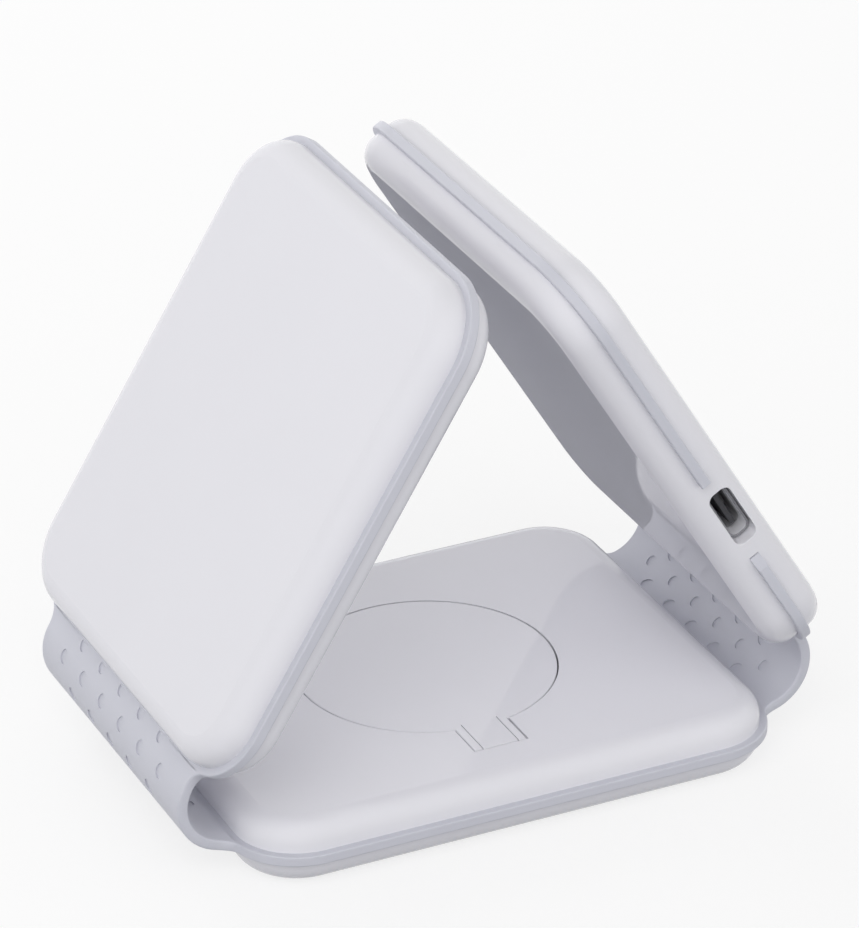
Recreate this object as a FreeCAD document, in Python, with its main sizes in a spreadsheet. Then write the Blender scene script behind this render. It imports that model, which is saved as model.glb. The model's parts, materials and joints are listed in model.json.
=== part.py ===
import FreeCAD, Part
import math
import os
import Sketcher
from FreeCAD import Placement, Rotation, Vector

# A folding travel charger of three pads, standing as a tent: a flat base pad and two pads that lean
# in over it. Each pad is a cover (the charging side) and a back, clamped on a silicone band, and two
# silicone folds join the bands. Lengths are in millimetres and angles in degrees.
# Every pad is drawn flat about the middle of its band, with its cover up, and then placed.

SIZES = (
    # pads and shells
    ("base_length", 80.2),
    ("pad_length", 75.0),
    ("pad_depth", 66.7),
    ("corner_radius", 10.2),
    ("cover_height", 4.05),
    ("back_height", 3.8),
    ("edge_radius", 3.3),
    ("wall", 1.6),
    ("lip_width", 0.8),
    ("lip_height", 1.0),
    ("fit_gap", 0.1),
    # silicone bands and folds
    ("band_thickness", 1.5),
    ("band_ledge", 1.1),
    ("band_edge", 0.25),
    ("fold_radius", 6.65),
    ("fold_width", 48.6),
    ("left_top_offset", 5.03),
    ("right_top_offset", 5.82),
    ("left_tongue", 2.4),
    ("right_tongue", 1.7),
    ("tongue_fillet", 1.3),
    # pop-up watch puck and its hinge
    ("puck_radius", 18.3),
    ("puck_gap", 0.2),
    ("puck_plate", 1.6),
    ("puck_edge", 0.2),
    ("cup_radius", 17.0),
    ("cup_height", 3.0),
    ("cup_wall", 1.0),
    ("well_wall", 1.2),
    ("well_gap", 0.3),
    ("tab_width", 7.8),
    ("tab_reach", 23.9),
    ("slit_spacing", 5.3),
    ("slit_width", 0.25),
    ("slit_start", 16.9),
    ("pin_diameter", 1.0),
    ("pin_length", 10.4),
    ("pin_setback", 1.2),
    ("pin_clearance", 0.03),
    ("notch_depth", 1.7),
    # charging socket in the right pad
    ("socket_offset", 8.6),
    ("socket_width", 8.94),
    ("socket_height", 3.26),
    ("socket_length", 7.3),
    ("socket_wall", 0.3),
    ("socket_corner", 1.3),
    ("socket_back", 1.0),
    ("blade_width", 6.7),
    ("blade_thickness", 0.7),
    ("blade_setback", 1.5),
    ("port_width", 9.65),
    ("port_height", 3.55),
    ("port_corner", 1.25),
    ("break_far", 7.65),
    ("break_near", 7.5),
    ("break_ramp", 2.0),
    # coils, magnets and boards
    ("coil_height", 1.0),
    ("ferrite_height", 0.6),
    ("ferrite_margin", 1.5),
    ("phone_coil_outer", 20.5),
    ("phone_coil_inner", 9.5),
    ("magnet_outer", 27.0),
    ("magnet_inner", 23.0),
    ("magnet_count", 16),
    ("magnet_space", 3.0),
    ("earbud_coil_outer", 15.5),
    ("earbud_coil_inner", 7.0),
    ("earbud_coil_offset", 14.0),
    ("watch_coil_outer", 12.5),
    ("watch_coil_inner", 6.0),
    ("watch_magnet_radius", 5.0),
    ("watch_magnet_height", 1.4),
    ("board_thickness", 0.6),
    ("board_length", 34.0),
    ("board_depth", 36.0),
    ("board_edge", 1.0),
    ("base_board_length", 30.0),
    ("base_board_depth", 20.0),
    ("chip_side", 6.0),
    ("chip_height", 0.9),
    ("chip_pitch", 9.5),
)

doc = FreeCAD.newDocument("charging_station")
sheet = doc.addObject("Spreadsheet::Sheet", "Sizes")
for row, (alias, number) in enumerate(SIZES, start=1):
    sheet.set("A%d" % row, alias)
    sheet.set("B%d" % row, str(number))
    sheet.setAlias("B%d" % row, alias)
doc.recompute()


class Dim:
    """A size worked out from the sheet: its number, and the expression that binds it."""

    def __init__(self, number, text):
        self.number = number
        self.text = text

    def __add__(self, other):
        other = as_dim(other)
        return Dim(self.number + other.number, "(%s + %s)" % (self.text, other.text))

    def __sub__(self, other):
        other = as_dim(other)
        return Dim(self.number - other.number, "(%s - %s)" % (self.text, other.text))

    def __mul__(self, other):
        other = as_dim(other)
        return Dim(self.number * other.number, "(%s * %s)" % (self.text, other.text))

    def __truediv__(self, other):
        other = as_dim(other)
        return Dim(self.number / other.number, "(%s / %s)" % (self.text, other.text))

    def __neg__(self):
        return Dim(-self.number, "(0 - %s)" % self.text)


def as_dim(value):
    return value if isinstance(value, Dim) else Dim(float(value), repr(float(value)))


def size(alias):
    return Dim(float(sheet.get(alias)), "Sizes.%s" % alias)


def sine(angle):
    return Dim(math.sin(math.radians(angle.number)), "sin(%s)" % angle.text)


def cosine(angle):
    return Dim(math.cos(math.radians(angle.number)), "cos(%s)" % angle.text)


def arc_cosine(ratio):
    return Dim(math.degrees(math.acos(ratio.number)), "(acos(%s) / 1 deg)" % ratio.text)


def arc_tangent(ratio):
    return Dim(math.degrees(math.atan(ratio.number)), "(atan(%s) / 1 deg)" % ratio.text)


def root(value):
    return Dim(math.sqrt(value.number), "sqrt(%s)" % value.text)


def smaller(first, second):
    return Dim(min(first.number, second.number), "min(%s; %s)" % (first.text, second.text))


def bind(item, prop, value):
    item.setExpression(prop, as_dim(value).text)


# Levels above the middle of a band, shared by all three pads
half_band = size("band_thickness") / 2
cover_top = half_band + size("cover_height")
cover_roof = cover_top - size("wall")
back_floor = size("wall") - half_band - size("back_height")
lip_top = half_band + size("lip_height")

# Insets from the outline of a band
shell_inset = size("band_ledge")
ring_inset = shell_inset + size("wall")
lip_inset = ring_inset + size("fit_gap")
cavity_inset = lip_inset + size("lip_width")

# Where each pad's middle lies, and how far it is turned from lying flat and about which axis
base_middle = half_band + size("back_height")


def pad_lean(tongue, top_offset):
    """Angle of a leaning pad above the table, so that its upper end stands off the middle of the base."""
    reach = tongue + size("pad_length")
    span = root(reach * reach + size("fold_radius") * size("fold_radius"))
    run = size("base_length") / 2 - top_offset
    return arc_cosine(run / span) - arc_tangent(size("fold_radius") / reach)


def pad_place(side, lean, tongue):
    reach = tongue + size("pad_length") / 2
    out = size("base_length") / 2 + size("fold_radius") * sine(lean) - reach * cosine(lean)
    up = base_middle + size("fold_radius") * (as_dim(1) + cosine(lean)) + reach * sine(lean)
    return out * side, up, as_dim(180) - lean, Vector(0, -side, 0)


left_lean = pad_lean(size("left_tongue"), size("left_top_offset"))
right_lean = pad_lean(size("right_tongue"), size("right_top_offset"))
PLACES = {
    "base": (as_dim(0), base_middle, as_dim(0), Vector(0, 1, 0)),
    "left": pad_place(-1, left_lean, size("left_tongue")),
    "right": pad_place(1, right_lean, size("right_tongue")),
}
LENGTHS = {"base": size("base_length"), "left": size("pad_length"), "right": size("pad_length")}
parts = []


def new_body(label, pad):
    body = doc.addObject("PartDesign::Body", label)
    body.Label = label
    x, z, turn, axis = PLACES[pad]
    body.Placement = Placement(Vector(x.number, 0, z.number), Rotation(axis, turn.number))
    bind(body, "Placement.Base.x", x)
    bind(body, "Placement.Base.z", z)
    bind(body, "Placement.Rotation.Angle", turn)
    parts.append(body)
    return body


def new_sketch(body, name, plane="XY_Plane", level=0):
    sketch = body.newObject("Sketcher::SketchObject", name)
    support = [item for item in body.Origin.OriginFeatures if item.Role == plane][0]
    sketch.AttachmentSupport = [(support, "")]
    sketch.MapMode = "FlatFace"
    bind(sketch, "AttachmentOffset.Base.z", level)
    return sketch


def set_distance(sketch, kind, *picks, value):
    value = as_dim(value)
    index = sketch.addConstraint(Sketcher.Constraint(kind, *picks, value.number))
    bind(sketch, "Constraints[%d]" % index, value)


def draw_polygon(sketch, corners):
    """Closed outline of straight sides through corners given as pairs of sizes."""
    corners = [(as_dim(x), as_dim(y)) for x, y in corners]
    points = [Vector(x.number, y.number, 0) for x, y in corners]
    first = sketch.GeometryCount
    count = len(points)
    for i in range(count):
        sketch.addGeometry(Part.LineSegment(points[i], points[(i + 1) % count]))
    for i in range(count):
        sketch.addConstraint(Sketcher.Constraint("Coincident", first + i, 2, first + (i + 1) % count, 1))
    for i, (x, y) in enumerate(corners):
        set_distance(sketch, "DistanceX", -1, 1, first + i, 1, value=x)
        set_distance(sketch, "DistanceY", -1, 1, first + i, 1, value=y)


def draw_box(sketch, middle_x, middle_y, length, depth):
    half_length = as_dim(length) / 2
    half_depth = as_dim(depth) / 2
    middle_x = as_dim(middle_x)
    middle_y = as_dim(middle_y)
    draw_polygon(sketch, [
        (middle_x - half_length, middle_y - half_depth),
        (middle_x + half_length, middle_y - half_depth),
        (middle_x + half_length, middle_y + half_depth),
        (middle_x - half_length, middle_y + half_depth),
    ])


def draw_rounded(sketch, length, depth, radius, middle_x=0, middle_y=0):
    """Rectangle with four equal round corners."""
    middle_x = as_dim(middle_x)
    middle_y = as_dim(middle_y)
    x, y = middle_x.number, middle_y.number
    a, b, r = length.number / 2, depth.number / 2, radius.number
    up = Vector(0, 0, 1)
    first = sketch.GeometryCount
    sides = [((-a + r, -b), (a - r, -b)), ((a, -b + r), (a, b - r)),
             ((a - r, b), (-a + r, b)), ((-a, b - r), (-a, -b + r))]
    centres = [(a - r, -b + r), (a - r, b - r), (-a + r, b - r), (-a + r, -b + r)]
    for i in range(4):
        start, end = sides[i]
        sketch.addGeometry(Part.LineSegment(Vector(x + start[0], y + start[1], 0),
                                            Vector(x + end[0], y + end[1], 0)))
        circle = Part.Circle(Vector(x + centres[i][0], y + centres[i][1], 0), up, r)
        angle = math.radians(90 * i - 90)
        sketch.addGeometry(Part.ArcOfCircle(circle, angle, angle + math.pi / 2))
    for i in range(8):
        sketch.addConstraint(Sketcher.Constraint("Tangent", first + i, 2, first + (i + 1) % 8, 1))
    for i in (0, 4):
        sketch.addConstraint(Sketcher.Constraint("Horizontal", first + i))
    for i in (2, 6):
        sketch.addConstraint(Sketcher.Constraint("Vertical", first + i))
    for i in (3, 5, 7):
        sketch.addConstraint(Sketcher.Constraint("Equal", first + 1, first + i))
    set_distance(sketch, "Radius", first + 1, value=radius)
    set_distance(sketch, "DistanceX", first + 6, 1, first + 2, 1, value=length)
    set_distance(sketch, "DistanceY", first, 1, first + 4, 1, value=depth)
    set_distance(sketch, "DistanceX", -1, 1, first + 1, 3, value=middle_x + length / 2 - radius)
    set_distance(sketch, "DistanceY", -1, 1, first + 1, 3, value=middle_y - depth / 2 + radius)


def draw_circle(sketch, radius, middle_x=0, middle_y=0):
    radius = as_dim(radius)
    middle_x = as_dim(middle_x)
    middle_y = as_dim(middle_y)
    centre = Vector(middle_x.number, middle_y.number, 0)
    index = sketch.addGeometry(Part.Circle(centre, Vector(0, 0, 1), radius.number))
    set_distance(sketch, "Radius", index, value=radius)
    set_distance(sketch, "DistanceX", -1, 1, index, 3, value=middle_x)
    set_distance(sketch, "DistanceY", -1, 1, index, 3, value=middle_y)


def draw_inset(sketch, pad, inset):
    """A pad's rounded outline, inset evenly from the edge of its band."""
    across = inset * 2
    draw_rounded(sketch, LENGTHS[pad] - across, size("pad_depth") - across, size("corner_radius") - inset)


def add_pad(body, sketch, length, name, down=False, both=False):
    feature = body.newObject("PartDesign::Pad", name)
    feature.Profile = sketch
    feature.Reversed = down
    if both:
        feature.SideType = "Symmetric"
    bind(feature, "Length", length)
    doc.recompute()
    return feature


def add_pocket(body, sketch, depth, name, up=False, both=False):
    before = body.Shape.Volume
    feature = body.newObject("PartDesign::Pocket", name)
    feature.Profile = sketch
    feature.Reversed = up
    if both:
        feature.SideType = "Symmetric"
    bind(feature, "Length", depth)
    doc.recompute()
    if body.Shape.Volume >= before:
        raise RuntimeError("%s of %s cuts nothing" % (name, body.Label))
    return feature


def dress_edges(body, kind, prop, amount, name, chosen):
    """Fillet or chamfer along the edges of the body's last feature that the test picks."""
    base = body.Tip
    edges = ["Edge%d" % (i + 1) for i, edge in enumerate(base.Shape.Edges) if chosen(edge)]
    feature = body.newObject(kind, name)
    feature.Base = (base, edges)
    bind(feature, prop, amount)
    doc.recompute()
    return feature


def add_fillet(body, radius, name, chosen):
    return dress_edges(body, "PartDesign::Fillet", "Radius", radius, name, chosen)


def add_chamfer(body, width, name, chosen):
    return dress_edges(body, "PartDesign::Chamfer", "Size", width, name, chosen)


def lies_at(edge, level):
    box = edge.BoundBox
    return abs(box.ZMin - level) < 1e-5 and abs(box.ZMax - level) < 1e-5


def make_cover(pad):
    """Upper shell: a rounded tray turned over, its rim standing on the band."""
    body = new_body("%s_cover" % pad, pad)
    outline = new_sketch(body, "%s_cover_outline" % pad, level=half_band)
    draw_inset(outline, pad, shell_inset)
    add_pad(body, outline, size("cover_height"), "%s_cover_block" % pad)
    round_over = smaller(size("edge_radius"), size("cover_height") - size("fit_gap"))
    add_fillet(body, round_over, "%s_cover_edge" % pad, lambda edge: lies_at(edge, cover_top.number))
    hollow = new_sketch(body, "%s_cover_hollow_outline" % pad, level=half_band)
    draw_inset(hollow, pad, ring_inset)
    add_pocket(body, hollow, size("cover_height") - size("wall"), "%s_cover_hollow" % pad, up=True)
    return body


def make_back(pad):
    """Lower shell: a rounded tray with a lip that passes through the band into the cover."""
    body = new_body("%s_back" % pad, pad)
    outline = new_sketch(body, "%s_back_outline" % pad, level=-half_band)
    draw_inset(outline, pad, shell_inset)
    add_pad(body, outline, size("back_height"), "%s_back_block" % pad, down=True)
    under = -half_band - size("back_height")
    round_over = smaller(size("edge_radius"), size("back_height") - size("fit_gap"))
    add_fillet(body, round_over, "%s_back_edge" % pad, lambda edge: lies_at(edge, under.number))
    lip = new_sketch(body, "%s_lip_outline" % pad, level=-half_band)
    draw_inset(lip, pad, lip_inset)
    add_pad(body, lip, lip_top + half_band, "%s_lip" % pad)
    hollow = new_sketch(body, "%s_back_hollow_outline" % pad, level=lip_top)
    draw_inset(hollow, pad, cavity_inset)
    add_pocket(body, hollow, lip_top - back_floor, "%s_back_hollow" % pad)
    return body


def make_band(pad, fold_side=0, tongue=None):
    """Silicone ring between the shells, standing proud of them; on a leaning pad with the tongue
    that runs to the fold."""
    body = new_body("%s_band" % pad, pad)
    outline = new_sketch(body, "%s_band_outline" % pad, level=-half_band)
    draw_inset(outline, pad, as_dim(0))
    add_pad(body, outline, size("band_thickness"), "%s_band_sheet" % pad)
    if tongue is not None:
        overlap = size("corner_radius") / 2
        sketch = new_sketch(body, "%s_tongue_outline" % pad, level=-half_band)
        middle = (size("pad_length") + tongue - overlap) / 2 * fold_side
        draw_box(sketch, middle, 0, tongue + overlap, size("fold_width"))
        add_pad(body, sketch, size("band_thickness"), "%s_tongue" % pad)
        half_width = size("fold_width").number / 2
        half_length = size("pad_length").number / 2

        def at_root(edge):
            spot = edge.CenterOfMass
            upright = edge.BoundBox.ZLength > half_band.number
            return upright and abs(abs(spot.y) - half_width) < 1e-5 and abs(spot.x) < half_length + 1e-5

        root_radius = smaller(size("tongue_fillet"), tongue - size("band_edge"))
        add_fillet(body, root_radius, "%s_tongue_root" % pad, at_root)
    add_chamfer(body, size("band_edge"), "%s_band_edge" % pad,
                lambda edge: lies_at(edge, half_band.number) or lies_at(edge, -half_band.number))
    opening = new_sketch(body, "%s_band_opening_outline" % pad, level=half_band)
    draw_inset(opening, pad, ring_inset)
    add_pocket(body, opening, size("band_thickness"), "%s_band_opening" % pad)
    return body


def make_fold(label, side, lean):
    """Flexible strip that turns up from the edge of the base band to the tongue of a leaning pad."""
    body = new_body(label, "base")
    profile = new_sketch(body, "%s_profile" % label, plane="XZ_Plane")
    centre_x = size("base_length") / 2 * side
    radius = size("fold_radius")
    outer = radius + half_band
    inner = radius - half_band
    low = math.radians(-90)
    high = math.radians(90 - lean.number) if side > 0 else math.radians(90 + lean.number)
    start, end = (low, high) if side > 0 else (high, low + 2 * math.pi)
    centre = Vector(centre_x.number, radius.number, 0)
    for reach in (outer, inner):
        circle = Part.Circle(centre, Vector(0, 0, 1), reach.number)
        profile.addGeometry(Part.ArcOfCircle(circle, start, end))

    def spot(reach, angle):
        return centre + Vector(math.cos(angle), math.sin(angle), 0) * reach.number

    profile.addGeometry(Part.LineSegment(spot(inner, start), spot(outer, start)))
    profile.addGeometry(Part.LineSegment(spot(inner, end), spot(outer, end)))
    for line, end_point in ((2, 1), (3, 2)):
        profile.addConstraint(Sketcher.Constraint("Coincident", line, 1, 1, end_point))
        profile.addConstraint(Sketcher.Constraint("Coincident", line, 2, 0, end_point))
    profile.addConstraint(Sketcher.Constraint("Coincident", 0, 3, 1, 3))
    set_distance(profile, "DistanceX", -1, 1, 0, 3, value=centre_x)
    set_distance(profile, "DistanceY", -1, 1, 0, 3, value=radius)
    set_distance(profile, "Radius", 0, value=outer)
    set_distance(profile, "Radius", 1, value=inner)
    # one end of the strip stands on the edge of the base, the other lies square to the leaning pad
    base_line, pad_line = (2, 3) if side > 0 else (3, 2)
    profile.addConstraint(Sketcher.Constraint("Vertical", base_line))
    tip_x = centre_x + outer * sine(lean) * side
    set_distance(profile, "DistanceX", -1, 1, pad_line, 2, value=tip_x)
    inner_x = centre_x + inner * sine(lean) * side
    set_distance(profile, "DistanceX", -1, 1, pad_line, 1, value=inner_x)
    add_pad(body, profile, size("fold_width"), "%s_strip" % label, both=True)
    return body


def make_ring(label, pad, bottom, height, outer, inner=None, middle_x=0):
    """Flat round piece, with a hole where an inner radius is given."""
    body = new_body(label, pad)
    sketch = new_sketch(body, "%s_outline" % label, level=bottom)
    draw_circle(sketch, outer, middle_x)
    if inner is not None:
        draw_circle(sketch, inner, middle_x)
    add_pad(body, sketch, height, "%s_ring" % label)
    return body


def make_plate(label, pad, bottom, height, spots, length, depth):
    """Flat rectangular pieces of one size, at one or more spots."""
    body = new_body(label, pad)
    sketch = new_sketch(body, "%s_outline" % label, level=bottom)
    for x, y in spots:
        draw_box(sketch, x, y, length, depth)
    add_pad(body, sketch, height, "%s_plate" % label)
    return body


# Shells and bands of the three pads, and the two folds
covers = {pad: make_cover(pad) for pad in PLACES}
backs = {pad: make_back(pad) for pad in PLACES}
bands = {
    "base": make_band("base"),
    "left": make_band("left", 1, size("left_tongue")),
    "right": make_band("right", -1, size("right_tongue")),
}
make_fold("left_fold", -1, left_lean)
make_fold("right_fold", 1, right_lean)

# Watch puck: a plate flush with the base cover, with a tab that turns on a pin
plate_bottom = cover_top - size("puck_plate")
cup_bottom = plate_bottom - size("cup_height")
well_floor = cup_bottom - size("well_gap")
pin_y = size("pin_setback") - size("tab_reach")
pin_z = cover_top - size("puck_plate") / 2
pin_radius = size("pin_diameter") / 2
well_radius = size("puck_radius") + size("puck_gap")
notch_width = size("tab_width") + size("puck_gap") * 2
notch_end = size("tab_reach") + size("puck_gap") + size("puck_edge") / 2
notch_floor = pin_z - size("notch_depth")


def add_well(body):
    """Round well for the puck and the notch for its tab, with the seats of the hinge pin."""
    wall = size("well_wall")
    block = new_sketch(body, "well_outline", level=well_floor - wall)
    draw_circle(block, well_radius + wall)
    add_pad(body, block, cover_top - well_floor + wall, "well_block")
    housing = new_sketch(body, "notch_housing_outline", level=notch_floor - wall)
    draw_polygon(housing, [
        (-size("pin_length") / 2 - wall, -notch_end - wall),
        (size("pin_length") / 2 + wall, -notch_end - wall),
        (size("pin_length") / 2 + wall, -size("cup_radius")),
        (-size("pin_length") / 2 - wall, -size("cup_radius")),
    ])
    add_pad(body, housing, cover_top - notch_floor + wall, "notch_housing")
    well = new_sketch(body, "well_mouth_outline", level=cover_top)
    draw_circle(well, well_radius)
    add_pocket(body, well, cover_top - well_floor, "well_mouth")
    notch = new_sketch(body, "notch_outline", level=cover_top)
    draw_polygon(notch, [
        (-notch_width / 2, -notch_end),
        (notch_width / 2, -notch_end),
        (notch_width / 2, -size("cup_radius")),
        (-notch_width / 2, -size("cup_radius")),
    ])
    add_pocket(body, notch, cover_top - notch_floor, "notch")
    seat = new_sketch(body, "pin_seat_outline", plane="YZ_Plane")
    draw_circle(seat, pin_radius, pin_y, pin_z)
    add_pocket(body, seat, size("pin_length"), "pin_seat", both=True)


def make_puck_cover():
    body = new_body("puck_cover", "base")
    disc = new_sketch(body, "puck_disc_outline", level=plate_bottom)
    draw_circle(disc, size("puck_radius"))
    add_pad(body, disc, size("puck_plate"), "puck_disc")
    tab = new_sketch(body, "puck_tab_outline", level=plate_bottom)
    root = size("slit_start")
    draw_box(tab, 0, -(size("tab_reach") + root) / 2, size("tab_width"), size("tab_reach") - root)
    add_pad(body, tab, size("puck_plate"), "puck_tab")
    add_chamfer(body, size("puck_edge"), "puck_top_edge", lambda edge: lies_at(edge, cover_top.number))
    # two slits free the middle of the tab, so that its ears can spring over the pin
    slits = new_sketch(body, "puck_slit_outline", level=cover_top)
    for side in (-1, 1):
        middle = -(size("tab_reach") + root) / 2 - size("puck_gap")
        draw_box(slits, size("slit_spacing") / 2 * side, middle, size("slit_width"),
                 size("tab_reach") - root + size("puck_gap") * 2)
    add_pocket(body, slits, size("puck_plate"), "puck_slits")
    bore = new_sketch(body, "puck_bore_outline", plane="YZ_Plane")
    draw_circle(bore, pin_radius + size("pin_clearance"), pin_y, pin_z)
    add_pocket(body, bore, size("tab_width") * 2, "puck_bore", both=True)
    return body


def make_puck_cup():
    body = new_body("puck_cup", "base")
    outline = new_sketch(body, "puck_cup_outline", level=cup_bottom)
    draw_circle(outline, size("cup_radius"))
    add_pad(body, outline, size("cup_height"), "puck_cup_block")
    hollow = new_sketch(body, "puck_cup_hollow_outline", level=plate_bottom)
    draw_circle(hollow, size("cup_radius") - size("cup_wall"))
    add_pocket(body, hollow, size("cup_height") - size("cup_wall"), "puck_cup_hollow")
    return body


def make_pin():
    body = new_body("puck_pin", "base")
    outline = new_sketch(body, "puck_pin_outline", plane="YZ_Plane")
    draw_circle(outline, pin_radius, pin_y, pin_z)
    add_pad(body, outline, size("pin_length"), "puck_pin_rod", both=True)
    return body


add_well(covers["base"])
make_puck_cover()
make_puck_cup()
make_pin()
watch_coil_bottom = plate_bottom - size("coil_height")
make_ring("watch_coil", "base", watch_coil_bottom, size("coil_height"),
          size("watch_coil_outer"), size("watch_coil_inner"))
make_ring("watch_magnet", "base", plate_bottom - size("watch_magnet_height"), size("watch_magnet_height"),
          size("watch_magnet_radius"))
make_ring("watch_ferrite", "base", watch_coil_bottom - size("ferrite_height"), size("ferrite_height"),
          size("watch_coil_outer") + size("ferrite_margin"), size("watch_coil_inner"))

# Charging socket: it lies on the main board, behind a port that both shells of the right pad share
port_x = -size("socket_offset")
port_z = back_floor + size("board_thickness") + size("socket_height") / 2
front_face = size("pad_depth") / 2 - shell_inset
front_inner = front_face - size("wall")


def add_port(cover, back, band):
    """Gap in the band, bridged by the back, with the port cut through both shells."""
    far = port_x + size("break_far")
    near = port_x - size("break_near")
    outside = front_face + size("band_ledge") * 2
    gap = new_sketch(band, "band_break_outline", level=half_band)
    draw_polygon(gap, [
        (far, -outside),
        (far, -front_inner + size("lip_width")),
        (near, -front_inner + size("lip_width")),
        (near, -front_face),
        (near - size("break_ramp"), -size("pad_depth") / 2),
        (near - size("break_ramp"), -outside),
    ])
    add_pocket(band, gap, size("band_thickness"), "band_break")
    bridge = new_sketch(back, "bridge_outline", level=-half_band)
    play = size("fit_gap")
    draw_polygon(bridge, [
        (near + play, -front_face),
        (far - play, -front_face),
        (far - play, -front_inner + size("lip_width")),
        (near + play, -front_inner + size("lip_width")),
    ])
    add_pad(back, bridge, size("band_thickness"), "bridge")
    for shell in (back, cover):
        port = new_sketch(shell, "%s_port_outline" % shell.Label, plane="XZ_Plane", level=outside)
        draw_rounded(port, size("port_width"), size("port_height"), size("port_corner"), port_x, port_z)
        add_pocket(shell, port, outside - front_inner + play, "%s_port" % shell.Label)
    bay = new_sketch(back, "socket_bay_outline", plane="XZ_Plane", level=front_inner)
    room = play * 2
    draw_rounded(bay, size("socket_width") + room, size("socket_height") + room,
                 size("socket_corner") + play, port_x, port_z)
    add_pocket(back, bay, size("socket_length") + room, "socket_bay")


def make_socket():
    body = new_body("usb_socket", "right")
    mouth = front_inner - size("fit_gap")
    outline = new_sketch(body, "socket_outline", plane="XZ_Plane", level=mouth)
    draw_rounded(outline, size("socket_width"), size("socket_height"), size("socket_corner"), port_x, port_z)
    add_pad(body, outline, size("socket_length"), "socket_block", down=True)
    wall = size("socket_wall")
    hollow = new_sketch(body, "socket_hollow_outline", plane="XZ_Plane", level=mouth)
    draw_rounded(hollow, size("socket_width") - wall * 2, size("socket_height") - wall * 2,
                 size("socket_corner") - wall, port_x, port_z)
    add_pocket(body, hollow, size("socket_length") - size("socket_back"), "socket_hollow")
    blade = new_body("socket_blade", "right")
    strip = new_sketch(blade, "blade_outline", plane="XZ_Plane", level=mouth - size("blade_setback"))
    draw_box(strip, port_x, port_z, size("blade_width"), size("blade_thickness"))
    reach = size("socket_length") - size("socket_back") - size("blade_setback")
    add_pad(blade, strip, reach, "blade", down=True)


add_port(covers["right"], backs["right"], bands["right"])
make_socket()

# Charging coils under the covers of the leaning pads
coil_bottom = cover_roof - size("coil_height")
ferrite_bottom = coil_bottom - size("ferrite_height")
make_ring("phone_coil", "left", coil_bottom, size("coil_height"),
          size("phone_coil_outer"), size("phone_coil_inner"))
make_ring("phone_ferrite", "left", ferrite_bottom, size("ferrite_height"),
          size("phone_coil_outer") + size("ferrite_margin"))
make_ring("earbud_coil", "right", coil_bottom, size("coil_height"),
          size("earbud_coil_outer"), size("earbud_coil_inner"), size("earbud_coil_offset"))
make_ring("earbud_ferrite", "right", ferrite_bottom, size("ferrite_height"),
          size("earbud_coil_outer") + size("ferrite_margin"), None, size("earbud_coil_offset"))


def make_magnets():
    """Ring of separate magnets that draws a phone to the left pad."""
    body = new_body("phone_magnets", "left")
    sketch = new_sketch(body, "magnet_outline", level=coil_bottom)
    outer, inner = size("magnet_outer"), size("magnet_inner")
    half = math.radians((360 / size("magnet_count").number - size("magnet_space").number) / 2)
    centre = Vector(0, 0, 0)
    for reach in (outer, inner):
        sketch.addGeometry(Part.ArcOfCircle(Part.Circle(centre, Vector(0, 0, 1), reach.number), -half, half))
    for end in (-half, half):
        way = Vector(math.cos(end), math.sin(end), 0)
        sketch.addGeometry(Part.LineSegment(way * inner.number, way * outer.number))
    for line, end_point in ((2, 1), (3, 2)):
        sketch.addConstraint(Sketcher.Constraint("Coincident", line, 1, 1, end_point))
        sketch.addConstraint(Sketcher.Constraint("Coincident", line, 2, 0, end_point))
    for arc in (0, 1):
        sketch.addConstraint(Sketcher.Constraint("Coincident", arc, 3, -1, 1))
    set_distance(sketch, "Radius", 0, value=outer)
    set_distance(sketch, "Radius", 1, value=inner)
    half_angle = (as_dim(360) / size("magnet_count") - size("magnet_space")) / 2
    for line, side in ((2, -1), (3, 1)):
        for point, reach in ((1, inner), (2, outer)):
            set_distance(sketch, "DistanceY", -1, 1, line, point, value=reach * sine(half_angle) * side)
    add_pad(body, sketch, size("coil_height"), "magnet")
    ring = body.newObject("PartDesign::PolarPattern", "magnet_ring")
    ring.Originals = [body.Tip]
    axis = [item for item in body.Origin.OriginFeatures if item.Role == "Z_Axis"][0]
    ring.Axis = (axis, [""])
    ring.Angle = 360
    bind(ring, "Occurrences", size("magnet_count"))
    body.Tip = ring
    doc.recompute()
    return body


make_magnets()

# Boards on the floors of the backs, with their chips
board_y = size("board_edge") + cavity_inset - (size("pad_depth") - size("board_depth")) / 2
make_plate("main_board", "right", back_floor, size("board_thickness"), [(port_x, board_y)],
           size("board_length"), size("board_depth"))
board_top = back_floor + size("board_thickness")
pitch = size("chip_pitch")
chip_y = board_y + size("board_depth") / 2 - pitch
make_plate("board_chips", "right", board_top, size("chip_height"),
           [(port_x + pitch * i, chip_y - pitch * j) for i in (-1, 0, 1) for j in (0, 1)],
           size("chip_side"), size("chip_side"))
make_plate("base_board", "base", back_floor, size("board_thickness"), [(0, 0)],
           size("base_board_length"), size("base_board_depth"))
make_plate("base_board_chips", "base", board_top, size("chip_height"), [(-pitch, 0), (0, 0), (pitch, 0)],
           size("chip_side"), size("chip_side"))

# Every piece has to be whole before any file is written
doc.recompute()
for item in doc.Objects:
    if "Invalid" in item.State or "Error" in item.State:
        raise RuntimeError("%s did not rebuild: %s" % (item.Name, item.State))
for body in parts:
    if body.Shape.isNull() or not body.Shape.isValid() or not body.Shape.Solids:
        raise RuntimeError("%s has no sound solid" % body.Label)

os.makedirs("parts", exist_ok=True)
for body in parts:
    body.Shape.exportStep("parts/%s.step" % body.Label)
    print("%-18s %2d solid(s) %9.1f mm3" % (body.Label, len(body.Shape.Solids), body.Shape.Volume))
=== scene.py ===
import json
import math

import bpy
from mathutils import Matrix, Vector


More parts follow.
